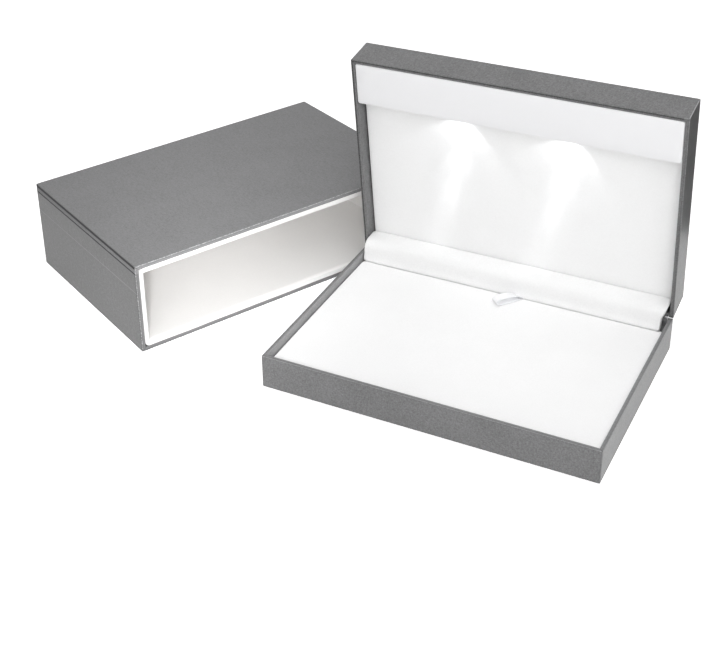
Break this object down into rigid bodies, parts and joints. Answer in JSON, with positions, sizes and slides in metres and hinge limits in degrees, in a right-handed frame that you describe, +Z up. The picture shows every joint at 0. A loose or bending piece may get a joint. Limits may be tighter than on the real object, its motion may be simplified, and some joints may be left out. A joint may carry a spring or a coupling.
{
  "type": "lit presentation box with sleeve",
  "caption": "Hinged presentation box with a lamp bar in its lid and a ribbon-pull display pad, standing open beside the open-fronted sleeve it slides into.",
  "frame": {"origin": "middle of the case's underside, on the felt", "axes": "+X along the hinge to the case's right, +Y from the case's front to its hinge, +Z up"},
  "size_m": [0.4726, 0.2952, 0.1905],
  "materials": {
    "greyboard": "matte",
    "grey_paper": "matte",
    "grey_felt": "matte",
    "white_cloth": "matte",
    "white_leatherette": "satin",
    "white_satin": "satin",
    "plated_steel": "satin",
    "white_plastic": "matte",
    "black_plastic": "matte",
    "green_laminate": "satin",
    "clear_lens": "gloss",
    "reed_glass": "gloss"
  },
  "bodies": {
    "tray": {"tray_base_board": "greyboard", "tray_front_wall": "greyboard", "tray_back_wall": "greyboard", "tray_left_wall": "greyboard", "tray_right_wall": "greyboard", "tray_wrap": "grey_paper", "tray_felt": "grey_felt", "display_pad": "white_cloth", "display_pad_board": "greyboard", "ribbon_pull": "white_satin", "tray_back_cove": "white_cloth", "tray_back_ledge": "white_cloth", "lamp_magnet": "plated_steel", "hinge_tray_leaf_left": "plated_steel", "hinge_tray_leaf_right": "plated_steel", "tray_leaf_rivets": "plated_steel", "hinge_pins": "plated_steel"},
    "lid": {"lid_panel_board": "greyboard", "lid_front_wall": "greyboard", "lid_back_wall": "greyboard", "lid_left_wall": "greyboard", "lid_right_wall": "greyboard", "lid_wrap": "grey_paper", "lid_pad": "white_cloth", "lid_pad_board": "greyboard", "hinge_roll": "white_cloth", "hinge_lid_leaf_left": "plated_steel", "hinge_lid_leaf_right": "plated_steel", "lid_leaf_rivets": "plated_steel", "lamp_housing": "white_plastic", "lamp_bar_cover": "white_leatherette", "lamp_board": "green_laminate", "lamp_left": "clear_lens", "lamp_right": "clear_lens", "cell_holder": "black_plastic", "button_cells": "plated_steel", "cell_spring_clips": "plated_steel", "reed_switch": "reed_glass", "board_screws": "plated_steel"},
    "sleeve": {"sleeve_base_sheet": "grey_paper", "sleeve_bottom_board": "greyboard", "sleeve_top_board": "greyboard", "sleeve_left_board": "greyboard", "sleeve_right_board": "greyboard", "sleeve_back_board": "greyboard", "sleeve_side_wrap": "grey_paper", "sleeve_top_wrap": "grey_paper", "liner_bottom": "white_cloth", "liner_top": "white_cloth", "liner_left": "white_cloth", "liner_right": "white_cloth", "liner_back": "white_cloth"}
  },
  "joints": [
    {"name": "lid_hinge", "type": "hinge", "parent": "tray", "child": "lid", "pos_m": [0, 0.0815, 0.0255], "axis": [1, 0, 0], "range_deg": [0, 82]},
    {"name": "sleeve_slide", "type": "slide", "parent": "tray", "child": "sleeve", "axis": [-0.8862, 0.4633, 0], "range_m": [0, 0.17]}
  ]
}
